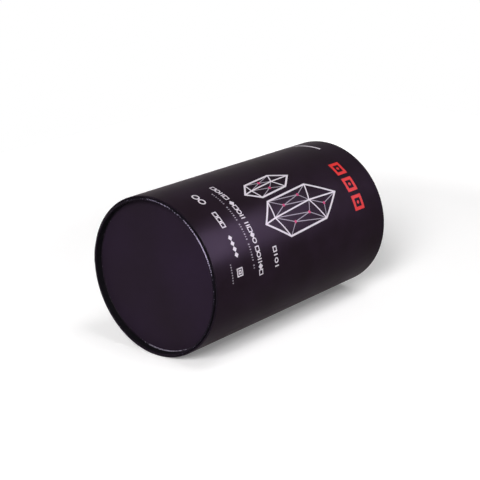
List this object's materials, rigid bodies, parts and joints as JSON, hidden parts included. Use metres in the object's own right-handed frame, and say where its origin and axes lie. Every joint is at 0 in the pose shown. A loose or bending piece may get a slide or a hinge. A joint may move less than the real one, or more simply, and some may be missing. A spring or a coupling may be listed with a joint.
{
  "type": "cylindrical gift tube box",
  "caption": "Cylindrical paper-covered gift box: a full-height sleeve with a set-in top slips off a board base tube with a set-in bottom.",
  "frame": {"origin": "centre of the foot ring, on the plane that the box stands on", "axes": "+Z along the tube's axis from the base's foot to the sleeve's top rim; -Y out of the middle of the front print"},
  "size_m": [0.1, 0.1, 0.174],
  "materials": {
    "board": "matte grey wound board",
    "base_paper": "matte black paper",
    "lining": "matte black paper",
    "printed_paper": "satin laminated aubergine-black print"
  },
  "bodies": {
    "base": {"base_tube": "board", "base_wrap": "base_paper", "base_lining": "lining", "bottom_disc": "board", "bottom_face": "printed_paper", "floor_paper": "lining"},
    "sleeve": {"sleeve_tube": "board", "sleeve_wrap": "printed_paper", "sleeve_lining": "lining", "top_disc": "board", "top_face": "printed_paper", "ceiling_paper": "lining"}
  },
  "joints": [
    {"name": "sleeve_lift", "type": "slide", "parent": "base", "child": "sleeve", "axis": [0, 0, 1], "range_m": [0, 0.18]}
  ]
}
